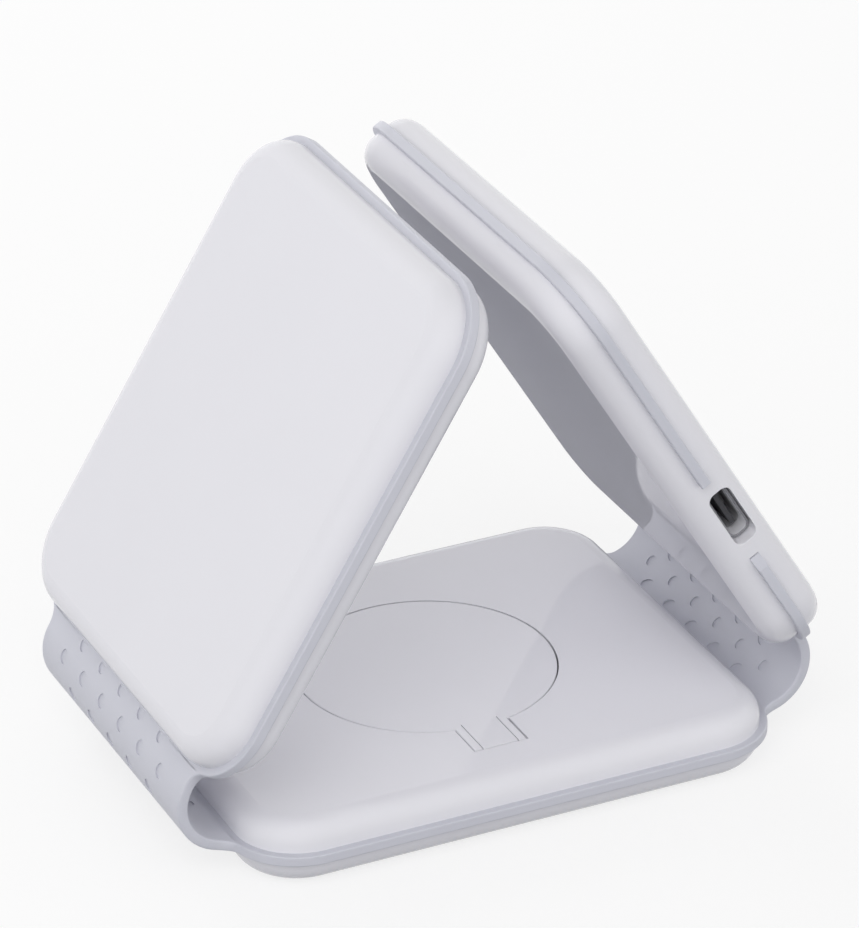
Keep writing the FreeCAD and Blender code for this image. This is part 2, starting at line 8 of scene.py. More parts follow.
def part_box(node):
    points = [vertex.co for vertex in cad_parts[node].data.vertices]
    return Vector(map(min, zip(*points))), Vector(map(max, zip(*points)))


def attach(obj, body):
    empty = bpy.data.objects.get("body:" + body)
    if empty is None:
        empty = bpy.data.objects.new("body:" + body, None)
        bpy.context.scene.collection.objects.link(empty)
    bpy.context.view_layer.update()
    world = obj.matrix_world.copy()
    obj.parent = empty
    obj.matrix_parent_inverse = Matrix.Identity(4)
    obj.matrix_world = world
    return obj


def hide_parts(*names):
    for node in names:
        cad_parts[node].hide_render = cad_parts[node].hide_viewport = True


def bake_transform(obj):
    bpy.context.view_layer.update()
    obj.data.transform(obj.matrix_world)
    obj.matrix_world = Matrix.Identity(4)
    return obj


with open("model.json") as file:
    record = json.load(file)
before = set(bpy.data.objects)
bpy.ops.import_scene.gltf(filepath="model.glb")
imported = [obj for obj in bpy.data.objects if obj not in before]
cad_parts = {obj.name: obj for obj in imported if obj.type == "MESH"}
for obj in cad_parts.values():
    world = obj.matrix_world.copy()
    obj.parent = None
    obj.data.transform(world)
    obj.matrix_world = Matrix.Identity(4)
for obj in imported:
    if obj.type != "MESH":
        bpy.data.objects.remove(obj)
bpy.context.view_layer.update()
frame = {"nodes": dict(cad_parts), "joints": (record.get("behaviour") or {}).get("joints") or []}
nodes = frame["nodes"]
joints = {joint["name"]: joint for joint in frame["joints"]}
mm = 0.001
touch = 0.001      # places nearer to each other than this, in millimetres, are one
facing = 0.99      # a face whose normal goes this far along an axis looks that way
past = 1.0         # how far a cutter reaches out of what it cuts
print("frame loaded with", len(nodes), "nodes")

# the shared build of the three pads, in millimetres, each drawn flat about the middle of its band
station = {
    "baseLength": 80.2,
    "padLength": 75.0,
    "depth": 66.7,
    "corner": 10.2,
    "bandThickness": 1.5,
    "ledge": 1.1,          # how far the band stands out past the shells
    "wall": 1.6,
    "coverHeight": 4.05,
    "backHeight": 3.8,
    "edgeRadius": 3.3,
    "crown": 0.04,         # how far the flat of a leaning pad stands up from its rounded edge
    "lipWidth": 0.8,
    "lipHeight": 1.0,
    "fitGap": 0.1,
    "foldRadius": 6.65,
    "foldWidth": 48.6,
    "tongue": {"left": 2.4, "right": 1.7},
    "cornerSteps": 20,
    "edgeSteps": 10,
}
half = station["bandThickness"] / 2
bandMiddle = half + station["backHeight"]
coverTop = half + station["coverHeight"]
backUnder = -half - station["backHeight"]
padLengths = {"base": station["baseLength"], "left": station["padLength"], "right": station["padLength"]}
padBodies = {"base": "base", "left": "left_pad", "right": "right_pad"}
padSides = {"left": -1, "right": 1}
padTurns = {side: math.radians(joints[side + "_fold_hinge"]["range_deg"][1]) for side in padSides}


# each leaning pad stands at the end of its fold
def padMatrix(pad):
    if pad == "base":
        return Matrix.Translation((0, 0, bandMiddle * mm))
    side, turn, radius = padSides[pad], padTurns[pad], station["foldRadius"]
    reach = station["tongue"][pad] + station["padLength"] / 2
    x = station["baseLength"] / 2 + radius * math.sin(turn) + reach * math.cos(turn)
    z = bandMiddle + radius * (1 - math.cos(turn)) + reach * math.sin(turn)
    return Matrix.Translation((side * x * mm, 0, z * mm)) @ Matrix.Rotation(-side * turn, 4, "Y")


# small modelling helpers, in millimetres

def clearSelection():
    if bpy.context.object and bpy.context.object.mode != "OBJECT":
        bpy.ops.object.mode_set(mode="OBJECT")
    bpy.ops.object.select_all(action="DESELECT")


def makeActive(piece):
    clearSelection()
    piece.select_set(True)
    bpy.context.view_layer.objects.active = piece


def settle(piece):
    makeActive(piece)
    bpy.ops.object.transform_apply(location=True, rotation=True, scale=True)


def addBlock(name, low, high):
    clearSelection()
    low, high = Vector(low) * mm, Vector(high) * mm
    bpy.ops.mesh.primitive_cube_add(size=1, location=(low + high) / 2)
    block = bpy.context.object
    block.name = name
    block.scale = high - low
    settle(block)
    return block


def addDrum(name, radius, bottom, top, sides):
    clearSelection()
    middle = (bottom + top) / 2
    bpy.ops.mesh.primitive_cylinder_add(
        vertices=sides, radius=radius * mm, depth=(top - bottom) * mm, location=(0, 0, middle * mm))
    drum = bpy.context.object
    drum.name = name
    settle(drum)
    return drum


def pickEdges(piece, wanted):
    makeActive(piece)
    bpy.ops.object.mode_set(mode="EDIT")
    bpy.ops.mesh.select_mode(type="EDGE")
    bpy.ops.mesh.select_all(action="DESELECT")
    bpy.ops.object.mode_set(mode="OBJECT")
    points = piece.data.vertices
    for edge in piece.data.edges:
        a, b = (points[i].co / mm for i in edge.vertices)
        edge.select = wanted(a, b)
    bpy.ops.object.mode_set(mode="EDIT")


def pickFaces(piece, wanted):
    makeActive(piece)
    bpy.ops.object.mode_set(mode="EDIT")
    bpy.ops.mesh.select_mode(type="FACE")
    bpy.ops.mesh.select_all(action="DESELECT")
    bpy.ops.object.mode_set(mode="OBJECT")
    for face in piece.data.polygons:
        face.select = wanted(face.center / mm, face.normal)
    bpy.ops.object.mode_set(mode="EDIT")


def roundEdges(piece, wanted, radius, steps):
    pickEdges(piece, wanted)
    bpy.ops.mesh.bevel(offset=radius * mm, segments=steps, profile=0.5, affect="EDGES")
    bpy.ops.object.mode_set(mode="OBJECT")


def atLevel(level):
    return lambda a, b: abs(a.z - level) < touch and abs(b.z - level) < touch


def addSlab(name, length, depth, bottom, top, corner):
    slab = addBlock(name, (-length / 2, -depth / 2, bottom), (length / 2, depth / 2, top))
    roundEdges(slab, lambda a, b: abs(a.z - b.z) > touch, corner, station["cornerSteps"])
    return slab


def padSlab(name, pad, inset, bottom, top):
    return addSlab(name, padLengths[pad] - 2 * inset, station["depth"] - 2 * inset, bottom, top,
                   station["corner"] - inset)


def sinkFace(piece, level, inset, travel):  # insets the flat face at a level and pushes it along Z
    pickFaces(piece, lambda centre, normal: abs(centre.z - level) < touch and abs(normal.z) > facing)
    bpy.ops.mesh.inset(thickness=inset * mm, depth=0)
    bpy.ops.mesh.extrude_region_move(TRANSFORM_OT_translate={"value": (0, 0, travel * mm)})
    bpy.ops.object.mode_set(mode="OBJECT")


def combine(piece, tool, operation):
    makeActive(piece)
    work = piece.modifiers.new("combine", "BOOLEAN")
    work.operation = operation
    work.solver = "EXACT"
    work.object = tool
    bpy.ops.object.modifier_apply(modifier=work.name)
    bpy.data.objects.remove(tool)


flatTurn = 0.2     # neighbours that turn less than this, in degrees, are one flat face


def mergeFlats(piece):  # dissolves what a weld leaves behind on flat faces
    makeActive(piece)
    bpy.ops.object.mode_set(mode="EDIT")
    bpy.ops.mesh.select_all(action="SELECT")
    bpy.ops.mesh.remove_doubles(threshold=touch * mm)
    bpy.ops.mesh.dissolve_limited(angle_limit=math.radians(flatTurn))
    bpy.ops.object.mode_set(mode="OBJECT")


def carve(piece, tool):
    combine(piece, tool, "DIFFERENCE")


def weld(piece, tool):
    combine(piece, tool, "UNION")


# edges that turn more than this, in degrees, stay sharp, and large faces lead the shading
shading = {"shells": 38, "folds": 30, "faceWeight": 80}


def finishPiece(piece, material, body, stoodFor, angle):
    makeActive(piece)
    bpy.ops.object.shade_smooth_by_angle(angle=math.radians(angle), keep_sharp_edges=True)
    even = piece.modifiers.new("even", "WEIGHTED_NORMAL")
    even.keep_sharp = True
    even.weight = shading["faceWeight"]
    bpy.ops.object.modifier_apply(modifier=even.name)
    piece.data.materials.clear()
    piece.data.materials.append(material)
    if body:
        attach(piece, body)
    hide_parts(*stoodFor)
    return piece


def toPad(piece, pad):
    piece.matrix_world = padMatrix(pad) @ piece.matrix_world
    settle(piece)


# shader sums: a wire is a socket that adds its own maths nodes
class Wire:
    def __init__(self, tree, socket=None):
        self.tree = tree
        self.socket = socket

    def node(self, kind, settings=None, inputs=None, output=0):
        made = self.tree.nodes.new(kind)
        for key, value in (settings or {}).items():
            setattr(made, key, value)
        for key, value in (inputs or {}).items():
            if isinstance(value, Wire):
                self.tree.links.new(value.socket, made.inputs[key])
            else:
                made.inputs[key].default_value = value
        return Wire(self.tree, made.outputs[output]) if made.outputs else None

    def maths(self, operation, first, second):
        return self.node("ShaderNodeMath", {"operation": operation}, {0: first, 1: second})

    def __add__(self, other):
        return self.maths("ADD", self, other)

    def __radd__(self, other):
        return self.maths("ADD", other, self)

    def __sub__(self, other):
        return self.maths("SUBTRACT", self, other)

    def __rsub__(self, other):
        return self.maths("SUBTRACT", other, self)

    def __mul__(self, other):
        return self.maths("MULTIPLY", self, other)

    def __rmul__(self, other):
        return self.maths("MULTIPLY", other, self)


def newMaterial(name):
    material = bpy.data.materials.new(name)
    material.use_nodes = True
    material.node_tree.nodes.clear()
    return material, Wire(material.node_tree)


def speckle(wire, place, scale, detail=2.0, rough=0.5):
    return wire.node("ShaderNodeTexNoise", {},
                     {"Vector": place, "Scale": scale, "Detail": detail, "Roughness": rough})


def mixColour(wire, amount, first, second):
    return wire.node("ShaderNodeMix", {"data_type": "RGBA"}, {0: amount, 6: first, 7: second}, output=2)


def tint(wire, amount, dark, light):
    return mixColour(wire, amount, (*dark, 1), (*light, 1))


def relief(wire, height, depth):
    return wire.node("ShaderNodeBump", {}, {"Height": height, "Strength": 1.0, "Distance": depth})


def endMaterial(wire, surface):
    wire.node("ShaderNodeOutputMaterial", {}, {"Surface": surface})


def closeMaterial(wire, inputs):
    endMaterial(wire, wire.node("ShaderNodeBsdfPrincipled", {}, inputs))


glossShell = {
    "dark": (0.765, 0.76, 0.8),
    "light": (0.79, 0.785, 0.825),
    "roughness": 0.02,
    "roughnessSwing": 0.03,
    "refraction": 1.4,
    "cloudScale": 40.0,
    "peelScale": 1500.0,      # the faint orange peel of a moulded gloss face
    "peelDepth": 0.0000004,
}


def shellMaterial():
    material, wire = newMaterial("glossShell")
    place = wire.node("ShaderNodeTexCoord", output="Object")
    cloud = speckle(wire, place, glossShell["cloudScale"])
    peel = speckle(wire, place, glossShell["peelScale"], detail=1.0)
    closeMaterial(wire, {
        "Base Color": tint(wire, cloud, glossShell["dark"], glossShell["light"]),
        "Roughness": glossShell["roughness"] + cloud * glossShell["roughnessSwing"],
        "IOR": glossShell["refraction"],
        "Normal": relief(wire, peel, glossShell["peelDepth"]),
    })
    return material


softSilicone = {
    "dark": (0.575, 0.58, 0.64),
    "light": (0.61, 0.615, 0.675),
    "roughness": 0.42,
    "roughnessSwing": 0.16,
    "sheen": 0.08,
    "cloudScale": 70.0,
    "grainScale": 5200.0,     # the fine matt grain of the mould
    "grainDepth": 0.000006,
}


def siliconeMaterial():
    material, wire = newMaterial("softSilicone")
    place = wire.node("ShaderNodeTexCoord", output="Object")
    cloud = speckle(wire, place, softSilicone["cloudScale"])
    grain = speckle(wire, place, softSilicone["grainScale"], detail=3.0, rough=0.6)
    closeMaterial(wire, {
        "Base Color": tint(wire, cloud, softSilicone["dark"], softSilicone["light"]),
        "Roughness": softSilicone["roughness"] + grain * softSilicone["roughnessSwing"],
        "Normal": relief(wire, grain, softSilicone["grainDepth"]),
        "Sheen Weight": softSilicone["sheen"],
    })
    return material


# finishes of the inner pieces, with the scale of the noise between their dark and light colours
innerFinishes = {
    "steel": {
        "dark": (0.42, 0.42, 0.43), "light": (0.56, 0.56, 0.57),
        "roughness": 0.3, "metal": 1.0, "scale": 900,
    },
    "contact": {
        "dark": (0.065, 0.065, 0.072), "light": (0.08, 0.08, 0.088),
        "roughness": 0.8, "metal": 0, "scale": 800,
    },
    "ferrite": {
        "dark": (0.05, 0.05, 0.055), "light": (0.085, 0.085, 0.09),
        "roughness": 0.55, "metal": 0, "scale": 1400,
    },
    "magnet": {
        "dark": (0.6, 0.6, 0.61), "light": (0.72, 0.72, 0.73),
        "roughness": 0.24, "metal": 1.0, "scale": 700,
    },
    "board": {
        "dark": (0.01, 0.085, 0.035), "light": (0.018, 0.13, 0.055),
        "roughness": 0.36, "metal": 0, "scale": 260,
    },
    "chip": {
        "dark": (0.016, 0.016, 0.017), "light": (0.028, 0.028, 0.03),
        "roughness": 0.48, "metal": 0, "scale": 2200,
    },
}
innerSwing = 0.12      # how much the roughness of an inner piece varies over its surface


def innerMaterial(name):
    finish = innerFinishes[name]
    material, wire = newMaterial(name)
    place = wire.node("ShaderNodeTexCoord", output="Object")
    cloud = speckle(wire, place, finish["scale"], detail=3.0)
    closeMaterial(wire, {
        "Base Color": tint(wire, cloud, finish["dark"], finish["light"]),
        "Roughness": finish["roughness"] - innerSwing / 2 + cloud * innerSwing,
        "Metallic": finish["metal"],
    })
    return material


socketFinish = {
    "steelDark": (0.68, 0.68, 0.71),
    "steelLight": (0.77, 0.77, 0.8),
    # deeper in the socket the walls are painted darker, as shade
    "deepDark": (0.42, 0.42, 0.44),
    "deepLight": (0.48, 0.48, 0.5),
    # a thin dark line painted at the mouth's front rim, as a shadow
    "rim": (0.28, 0.28, 0.3),
    "rimDepth": 0.05,
    "paintedShadeFrom": 2.3,            # how far in from the mouth the walls keep the steel colour; deeper in they are painted darker, as shade
    "grainScale": 900,
    "roughness": 0.55,
    "roughnessSwing": 0.2,
    "gloss": 0.1,
}


def socketMaterial():
    material, wire = newMaterial("socketSteel")
    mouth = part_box("usb_socket")[0].y
    place = wire.node("ShaderNodeTexCoord", output="Object")
    grain = speckle(wire, place, socketFinish["grainScale"], detail=3.0)
    depth = wire.node("ShaderNodeSeparateXYZ", {}, {0: place}, output="Y") - mouth
    # past a depth the walls are painted darker, as the shade inside the socket
    deep = wire.maths("GREATER_THAN", depth, socketFinish["paintedShadeFrom"] * mm)
    # the front rim is painted dark, as a thin shadow line
    pastRim = wire.maths("GREATER_THAN", depth, socketFinish["rimDepth"] * mm)
    steel = tint(wire, grain, socketFinish["steelDark"], socketFinish["steelLight"])
    paintedDeepShade = tint(wire, grain, socketFinish["deepDark"], socketFinish["deepLight"])
    walls = mixColour(wire, deep, steel, paintedDeepShade)
    closeMaterial(wire, {
        "Base Color": mixColour(wire, pastRim, (*socketFinish["rim"], 1), walls),
        "Roughness": socketFinish["roughness"] + grain * socketFinish["roughnessSwing"],
        "Specular IOR Level": socketFinish["gloss"],
    })
    return material


woundCoil = {
    # dark is painted shade in the grooves between the turns, light is the crown of the wire
    "dark": (0.2, 0.07, 0.03),
    "light": (0.78, 0.36, 0.17),
    "wirePitch": 0.55,
    "wireRelief": 0.1,
    "roughness": 0.42,
    "roughnessSwing": 0.12,
    "metal": 0.9,
}


def coilMaterial(node):  # rings of wire around the middle of the coil, with painted shade in the grooves between the turns
    material, wire = newMaterial(node.replace("_", "") + "Winding")
    low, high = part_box(node)
    place = wire.node("ShaderNodeTexCoord", output="Object")
    fromMiddle = wire.node("ShaderNodeVectorMath", {"operation": "SUBTRACT"}, {0: place, 1: (low + high) / 2})
    radius = wire.node("ShaderNodeVectorMath", {"operation": "LENGTH"}, {0: fromMiddle}, output="Value")
    wireHalf = woundCoil["wirePitch"] / 2 * mm
    turn = wire.maths("PINGPONG", radius, wireHalf) * (1 / wireHalf)
    closeMaterial(wire, {
        "Base Color": tint(wire, turn, woundCoil["dark"], woundCoil["light"]),
        "Roughness": woundCoil["roughness"] - turn * woundCoil["roughnessSwing"],
        "Metallic": woundCoil["metal"],
        "Normal": relief(wire, turn, woundCoil["wireRelief"] * mm),
    })
    return material


white = shellMaterial()
silicone = siliconeMaterial()
inner = {name: innerMaterial(name) for name in innerFinishes}
print("finishes made")


# shells

def creaseFlat(shell, level, lift):  # a crisp line where the flat face meets its rounded edge
    pickFaces(shell, lambda centre, normal: abs(centre.z - level) < touch)
    bpy.ops.transform.translate(value=(0, 0, lift * mm))
    bpy.ops.mesh.region_to_loop()
    bpy.ops.mesh.mark_sharp()
    bpy.ops.object.mode_set(mode="OBJECT")


def coverShell(pad):
    shell = padSlab(pad + "Cover", pad, station["ledge"], half, coverTop)
    roundEdges(shell, atLevel(coverTop), station["edgeRadius"], station["edgeSteps"])
    creaseFlat(shell, coverTop, 0 if pad == "base" else station["crown"])
    sinkFace(shell, half, station["wall"], station["coverHeight"] - station["wall"])
    return shell


def backShell(pad):
    shell = padSlab(pad + "Back", pad, station["ledge"], backUnder, -half)
    roundEdges(shell, atLevel(backUnder), station["edgeRadius"], station["edgeSteps"])
    creaseFlat(shell, backUnder, 0 if pad == "base" else -station["crown"])
    lipTop = half + station["lipHeight"]
    sinkFace(shell, -half, station["wall"] + station["fitGap"], lipTop + half)
    sinkFace(shell, lipTop, station["lipWidth"], backUnder + station["wall"] - lipTop)
    return shell


puck = {
    "radius": 18.3,
    "gap": 0.2,
    "plate": 1.6,
    "edge": 0.2,
    "edgeSteps": 3,
    "sides": 160,
    "cupRadius": 17.0,
    "cupHeight": 3.0,
    "wellWall": 1.2,
    "wellGap": 0.3,
    "tabWidth": 7.8,
    "tabReach": 23.9,
    "slitSpacing": 5.3,
    "slitWidth": 0.15,
    "slitStart": 16.9,
    "notchDepth": 1.7,
    "seatLength": 10.4,
}


def cutWell(shell):
    wall = puck["wellWall"]
    floor = coverTop - puck["plate"] - puck["cupHeight"] - puck["wellGap"]
    wellRadius = puck["radius"] + puck["gap"]
    notchFloor = coverTop - puck["plate"] / 2 - puck["notchDepth"]
    notchHalf = puck["tabWidth"] / 2 + puck["gap"]
    notchEnd = puck["tabReach"] + puck["gap"] + puck["edge"] / 2
    seatHalf = puck["seatLength"] / 2 + wall
    buried = coverTop - station["wall"] / 2
    weld(shell, addDrum("well", wellRadius + wall, floor - wall, buried, puck["sides"]))
    weld(shell, addBlock("housing", (-seatHalf, -notchEnd - wall, notchFloor - wall),
                         (seatHalf, -puck["cupRadius"], buried)))
    carve(shell, addDrum("mouth", wellRadius, floor, coverTop + past, puck["sides"]))
    carve(shell, addBlock("notch", (-notchHalf, -notchEnd, notchFloor),
                          (notchHalf, -puck["cupRadius"], coverTop + past)))


def puckPlate():
    bottom = coverTop - puck["plate"]
    plate = addDrum("puckCover", puck["radius"], bottom, coverTop, puck["sides"])
    tabHalf = puck["tabWidth"] / 2
    weld(plate, addBlock("tab", (-tabHalf, -puck["tabReach"], bottom),
                         (tabHalf, -puck["slitStart"], coverTop)))
    mergeFlats(plate)
    roundEdges(plate, atLevel(coverTop), puck["edge"], puck["edgeSteps"])
    for side in (-1, 1):
        middle = side * puck["slitSpacing"] / 2
        reach = puck["slitWidth"] / 2
        carve(plate, addBlock("slit", (middle - reach, -puck["tabReach"] - past, bottom - past),
                              (middle + reach, -puck["slitStart"], coverTop + past)))
    return plate


port = {
    "offset": 8.6,            # from the middle of the right pad towards its fold
    "height": -0.72,
    "width": 9.65,
    "thickness": 3.55,
    "corner": 1.25,
    "breakFar": 7.65,         # how far the band stops from the middle of the port, on each side
    "breakNear": 7.5,
    "ramp": 2.0,              # over which the near end of the band thins out
    "rampLead": 0.5,          # how far the line of that slope carries on into the break
    "bridgeRoot": 0.4,        # how deep the back's bridge across the break is rooted
    "bayDepth": 8.0,
    "bayCorner": 1.4,
    "flare": 0.12,            # rounding of the port's outer edge
    "flareSteps": 3,
    "socketWidth": 8.94,
    "socketThickness": 3.26,
}
frontFace = station["depth"] / 2 - station["ledge"]
frontInner = frontFace - station["wall"]


def portTool(name, width, thickness, corner, near, far):  # a rounded bar along Y, centred on the port
    bar = addSlab(name, width, thickness, near, far, corner)
    bar.matrix_world = (Matrix.Translation((-port["offset"] * mm, 0, port["height"] * mm))
                        @ Matrix.Rotation(math.radians(90), 4, "X"))
    settle(bar)
    return bar


def flaredPortTool():
    bar = portTool("portTool", port["width"], port["thickness"], port["corner"],
                   frontInner - past, frontFace - port["flare"])
    pickFaces(bar, lambda centre, normal: normal.y < -facing)
    turn = math.pi / 2 / port["flareSteps"]
    centre = (-port["offset"] * mm, 0, port["height"] * mm)
    wide, tall = port["width"] / 2, port["thickness"] / 2
    grown = 0.0
    for step in range(1, port["flareSteps"] + 1):
        out = port["flare"] * (math.sin(turn * step) - math.sin(turn * (step - 1)))
        reach = port["flare"] * (1 - math.cos(turn * step))
        bpy.ops.mesh.extrude_region_move(TRANSFORM_OT_translate={"value": (0, -out * mm, 0)})
        growth = ((wide + reach) / (wide + grown), 1, (tall + reach) / (tall + grown))
        bpy.ops.transform.resize(value=growth, center_override=centre)
        grown = reach
    bpy.ops.mesh.extrude_region_move(TRANSFORM_OT_translate={"value": (0, -past * mm, 0)})
    bpy.ops.object.mode_set(mode="OBJECT")
    return bar


def cutPort(cover, back):
    far = port["breakFar"] - port["offset"] - station["fitGap"]
    near = -port["breakNear"] - port["offset"] + station["fitGap"]
    weld(back, addBlock("bridge", (near, -frontFace, -half - port["bridgeRoot"]),
                        (far, -frontInner + station["lipWidth"], half)))
    carve(back, flaredPortTool())
    carve(cover, flaredPortTool())
    gap = 2 * station["fitGap"]
    carve(back, portTool("bay", port["socketWidth"] + gap, port["socketThickness"] + gap, port["bayCorner"],
                         frontInner - port["bayDepth"], frontInner))


bandEdge = {"radius": 0.24, "steps": 4}


def bandRing(pad):
    ring = padSlab(pad + "Band", pad, 0, -half, half)
    for level in (-half, half):
        roundEdges(ring, atLevel(level), bandEdge["radius"], bandEdge["steps"])
    carve(ring, padSlab("opening", pad, station["ledge"] + station["wall"], -half - past, half + past))
    return ring


def breakBand(ring):
    far = port["breakFar"] - port["offset"]
    near = -port["breakNear"] - port["offset"]
    start = near - port["ramp"]
    outside = station["depth"] / 2 + past
    carve(ring, addBlock("gap", (near, -outside, -half - past), (far, -frontInner + past, half + past)))
    wedge = addBlock("ramp", (start, -outside, -half - past),
                     (near + port["rampLead"], -frontFace, half + past))
    corner = Vector((start, -frontFace))
    pickEdges(wedge, lambda a, b: max((a.xy - corner).length, (b.xy - corner).length) < touch)
    bpy.ops.transform.translate(value=(0, -station["ledge"] * mm, 0))
    bpy.ops.object.mode_set(mode="OBJECT")
    carve(ring, wedge)


shells = {}
for pad in padLengths:
    shells[pad] = (coverShell(pad), backShell(pad), bandRing(pad))
cutWell(shells["base"][0])
cutPort(shells["right"][0], shells["right"][1])
breakBand(shells["right"][2])
plate = puckPlate()
toPad(plate, "base")
finishPiece(plate, white, "puck", ["puck_cover"], shading["shells"])
for pad, (cover, back, ring) in shells.items():
    for piece in (cover, back, ring):
        toPad(piece, pad)
    finishPiece(cover, white, padBodies[pad], [pad + "_cover"], shading["shells"])
    finishPiece(back, white, padBodies[pad], [pad + "_back"], shading["shells"])
    finishPiece(ring, silicone, padBodies[pad], [pad + "_band"], shading["shells"])
print("shells, bands and puck modelled")


# folds: a strip modelled flat along X with its dimples, then rolled up onto its bend with flared ends
foldShape = {
    "edge": 0.24,
    "edgeSteps": 4,
    "flare": {"left": (2.6, 3.0), "right": (2.6, 2.4)},   # hollow radius at the base and at the pad
    "rowStep": 0.25,
    "dimpleRadius": 0.98,
    "dimpleDepth": 0.2,
    "dimplePitch": 6.8,
    "dimpleSides": 28,
    # rows of dimples by their distance along the strip from the base, and how many each row has
    "rows": {"left": (1.9, 5.5, 9.0, 12.8, 16.25), "right": (1.8, 5.0, 8.1, 11.3, 14.9)},
    "rowCounts": (5, 6, 5, 6, 5),
}


def foldLength(pad):
    return station["foldRadius"] * padTurns[pad] + station["tongue"][pad]


def foldPoint(pad, run, across, lift):  # a place on the flat strip, rolled onto the bend
    radius = station["foldRadius"]
    angle = min(max(run / radius, 0), padTurns[pad])
    over = run - angle * radius
    out = station["baseLength"] / 2 + (radius - lift) * math.sin(angle) + over * math.cos(angle)
    up = bandMiddle + radius - (radius - lift) * math.cos(angle) + over * math.sin(angle)
    return Vector((padSides[pad] * out, across, up)) * mm


def flareAt(pad, run):  # how far the strip is widened there, and how far its edge turns from square
    corner = station["corner"]
    inset = station["foldWidth"] / 2 - station["depth"] / 2 + corner
    for radius, away, way in zip(foldShape["flare"][pad], (run, foldLength(pad) - run), (1, -1)):
        reach = math.sqrt((corner + radius) ** 2 - (inset + radius) ** 2)
        meeting = reach * corner / (corner + radius) - corner   # where the hollow runs into the round corner
        if away < reach - corner:
            slide = (reach - corner - max(away, meeting)) / radius
            return radius * (1 - math.sqrt(1 - slide ** 2)), slide * way
    return 0, 0


def rollUp(strip, pad):  # places each point, because the ends have to meet the bands to the hair
    width = station["foldWidth"] / 2
    for point in strip.data.vertices:
        run, across, lift = point.co / mm
        edge = abs(across) - width
        if edge > -foldShape["edge"] - touch:
            wider, slide = flareAt(pad, run)
            across = math.copysign(width + wider + edge * math.sqrt(1 - slide ** 2), across)
            run += edge * slide
        point.co = foldPoint(pad, run, across, lift)


def cutAcross(piece, run):
    makeActive(piece)
    bpy.ops.object.mode_set(mode="EDIT")
    bpy.ops.mesh.select_all(action="SELECT")
    bpy.ops.mesh.bisect(plane_co=(run * mm, 0, 0), plane_no=(1, 0, 0))
    bpy.ops.object.mode_set(mode="OBJECT")


def addDimples(strip, pad):
    drum = addDrum("dimple", foldShape["dimpleRadius"], -foldShape["dimpleDepth"], foldShape["dimpleDepth"],
                   foldShape["dimpleSides"])
    copies = []
    for run, count in zip(foldShape["rows"][pad], foldShape["rowCounts"]):
        for i in range(count):
            y = (i - (count - 1) / 2) * foldShape["dimplePitch"]
            for level in (-half, half):
                copy = drum.copy()
                copy.data = drum.data.copy()
                copy.location = Vector((run, y, level)) * mm
                bpy.context.collection.objects.link(copy)
                copies.append(copy)
    bpy.data.objects.remove(drum)
    clearSelection()
    for copy in copies:
        copy.select_set(True)
    bpy.context.view_layer.objects.active = copies[0]
    bpy.ops.object.join()
    settle(copies[0])
    carve(strip, copies[0])


def foldStrip(pad):
    length, width = foldLength(pad), station["foldWidth"] / 2
    overlap = 2 * foldShape["edge"]   # the rounded ends lie in the rounded edges of the bands
    strip = addBlock(pad + "Fold", (-overlap, -width, -half), (length + overlap, width, half))
    for level in (-half, half):
        roundEdges(strip, atLevel(level), foldShape["edge"], foldShape["edgeSteps"])
    addDimples(strip, pad)
    rows = math.ceil((length + overlap) / foldShape["rowStep"])
    for row in range(rows + 1):
        cutAcross(strip, (length + overlap) * row / rows - foldShape["edge"])
    rollUp(strip, pad)
    makeActive(strip)
    bpy.ops.object.mode_set(mode="EDIT")
    bpy.ops.mesh.select_all(action="SELECT")
    bpy.ops.mesh.normals_make_consistent(inside=False)
    bpy.ops.object.mode_set(mode="OBJECT")
    return strip


for pad in padSides:
    strip = foldStrip(pad)
    finishPiece(strip, silicone, None, [pad + "_fold"], shading["folds"])
    foldPoint(pad, 0, 0, 0)
    foldPoint(pad, foldLength(pad), 0, 0)
    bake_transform(strip)
print("folds modelled")


# inner pieces keep their solids and get their finishes
innerNodes = {
    "steel": ("puck_pin",),
    "contact": ("socket_blade",),
    "ferrite": ("watch_ferrite", "phone_ferrite", "earbud_ferrite"),
    "magnet": ("watch_magnet", "phone_magnets"),
    "board": ("main_board", "base_board"),
    "chip": ("board_chips", "base_board_chips"),
}


def dress(name, material):
    nodes[name].data.materials.clear()
    nodes[name].data.materials.append(material)


for finish, names in innerNodes.items():
    for name in names:
        dress(name, inner[finish])
for name in ("watch_coil", "phone_coil", "earbud_coil"):
    dress(name, coilMaterial(name))
dress("usb_socket", socketMaterial())
dress("puck_cup", white)
print("inner pieces finished")


# studio: pale floor, soft white surroundings, broad lamps and a dark card that paints a reflection
studio = {
    "floorSize": 4.0,
    "floorColour": (0.97, 0.97, 0.97),
    "floorBounce": (0.39, 0.395, 0.42),
    "floorWhite": 0.75,       # how far the seen floor is lifted to white, with the shadow left on it
    "skyHorizon": 1.64,       # bright at the sides and dark overhead, as in a light tent
    "skyOverhead": 0.02,
    "lamps": (
        {"name": "keyLamp", "place": (-0.5, -0.5, 0.84), "size": 0.9, "power": 3.3},
        {"name": "frontLamp", "place": (0, -0.71, 0.84), "size": 0.9, "power": 0.9},
        {"name": "backLamp", "place": (0, 1.06, 0.285), "size": 0.9, "power": 6.3},
    ),
    "lampAim": (0, 0, 0.035),
    # a dark card seen only in reflections: it paints a dark reflection onto the right pad's inner face
    "flag": {"low": (0.02, 0.0), "high": (0.075, 0.16), "level": 0.0005, "colour": (0.25, 0.255, 0.29)},
}


def seenRay(wire):  # the eye, mirrors and glass see the white surroundings
    camera, glossy, glass = (wire.node("ShaderNodeLightPath", output=name)
                             for name in ("Is Camera Ray", "Is Glossy Ray", "Is Transmission Ray"))
    return wire.maths("MAXIMUM", wire.maths("MAXIMUM", camera, glossy), glass)


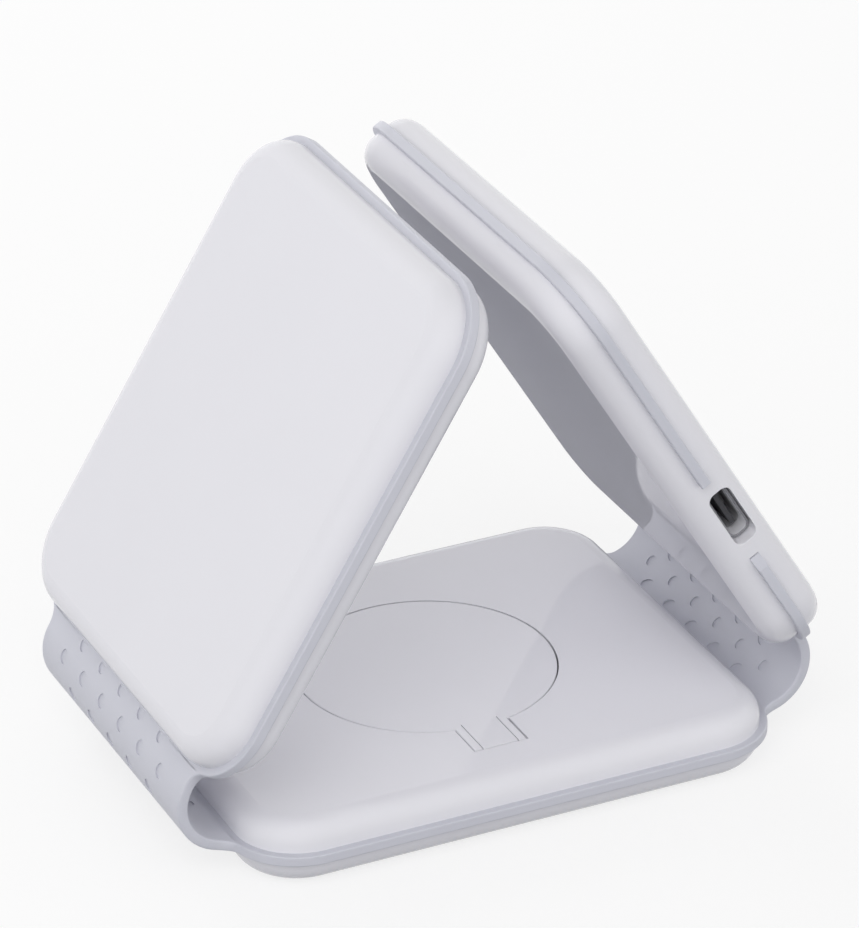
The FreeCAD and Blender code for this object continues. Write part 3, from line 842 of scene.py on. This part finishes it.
def makeFloor():
    clearSelection()
    bpy.ops.mesh.primitive_plane_add(size=studio["floorSize"], location=(0, 0, 0))
    floor = bpy.context.object
    floor.name = "floor"
    material, wire = newMaterial("paleFloor")
    bounce = wire.node("ShaderNodeBsdfDiffuse", {}, {"Color": (*studio["floorBounce"], 1)})
    pale = wire.node("ShaderNodeBsdfDiffuse", {}, {"Color": (*studio["floorColour"], 1)})
    plain = wire.node("ShaderNodeEmission", {}, {"Color": (1, 1, 1, 1), "Strength": 1.0})
    seen = wire.node("ShaderNodeMixShader", {}, {0: studio["floorWhite"], 1: pale, 2: plain})
    endMaterial(wire, wire.node("ShaderNodeMixShader", {}, {0: seenRay(wire), 1: bounce, 2: seen}))
    floor.data.materials.append(material)


def makeReflectionCard():  # a dark card behind the right pad, seen only in reflections, where it paints a dark reflection on the pad's inner face
    flag = studio["flag"]
    low, high = Vector((*flag["low"], flag["level"])), Vector((*flag["high"], flag["level"]))
    clearSelection()
    bpy.ops.mesh.primitive_plane_add(size=1, location=(low + high) / 2)
    card = bpy.context.object
    card.name = "paintedReflectionCard"
    card.scale = (high.x - low.x, high.y - low.y, 1)
    settle(card)
    material, wire = newMaterial("paintedDarkReflection")
    endMaterial(wire, wire.node("ShaderNodeBsdfDiffuse", {}, {"Color": (*flag["colour"], 1)}))
    card.data.materials.append(material)
    card.visible_camera = False
    card.visible_diffuse = False
    card.visible_shadow = False


def skyLight(wire, strength):
    return wire.node("ShaderNodeBackground", {}, {"Color": (1, 1, 1, 1), "Strength": strength})


def makeWorld():
    world = bpy.data.worlds.new("studioSky")
    bpy.context.scene.world = world
    world.use_nodes = True
    world.node_tree.nodes.clear()
    wire = Wire(world.node_tree)
    way = wire.node("ShaderNodeTexCoord", output="Generated")
    height = wire.node("ShaderNodeSeparateXYZ", {}, {0: way}, output="Z")
    side, overhead = skyLight(wire, studio["skyHorizon"]), skyLight(wire, studio["skyOverhead"])
    lit = wire.node("ShaderNodeMixShader", {}, {0: height, 1: side, 2: overhead})
    mixed = wire.node("ShaderNodeMixShader", {}, {0: seenRay(wire), 1: lit, 2: skyLight(wire, 1.0)})
    wire.node("ShaderNodeOutputWorld", {}, {"Surface": mixed})


def makeLamps():
    for lamp in studio["lamps"]:
        clearSelection()
        bpy.ops.object.light_add(type="AREA", location=lamp["place"])
        light = bpy.context.object
        light.name = lamp["name"]
        light.data.shape = "DISK"
        light.data.size = lamp["size"]
        light.data.energy = lamp["power"]
        light.visible_glossy = False   # the gloss mirrors the plain white surroundings
        aim = Vector(studio["lampAim"]) - light.location
        light.rotation_euler = aim.to_track_quat("-Z", "Y").to_euler()


# camera from the photograph: straight and round edges fix its place, aim, roll and focal length
camera = {
    "place": (-269.99, -580.28, 375.75),
    "aim": (4.912, 8.672, 35.677),
    "roll": -0.491,
    "lens": 205.83,
    "nearest": 10.0,          # what is closer to the lens than this isn't drawn
}


def makeCamera():
    clearSelection()
    place = Vector(camera["place"]) * mm
    bpy.ops.object.camera_add(location=place)
    eye = bpy.context.object
    eye.name = "photoCamera"
    look = (Vector(camera["aim"]) * mm - place).normalized()
    right = look.cross(Vector((0, 0, 1))).normalized()
    up = right.cross(look)
    roll = math.radians(camera["roll"])
    right = right * math.cos(roll) + up * math.sin(roll)
    up = right.cross(look)
    turn = Matrix((right, up, -look)).transposed()
    eye.matrix_world = Matrix.Translation(place) @ turn.to_4x4()
    eye.data.lens = camera["lens"]
    eye.data.clip_start = camera["nearest"] * mm
    bpy.context.scene.camera = eye


makeFloor()
makeReflectionCard()
makeWorld()
makeLamps()
makeCamera()
bpy.context.scene.view_settings.view_transform = "Standard"
print("studio set")
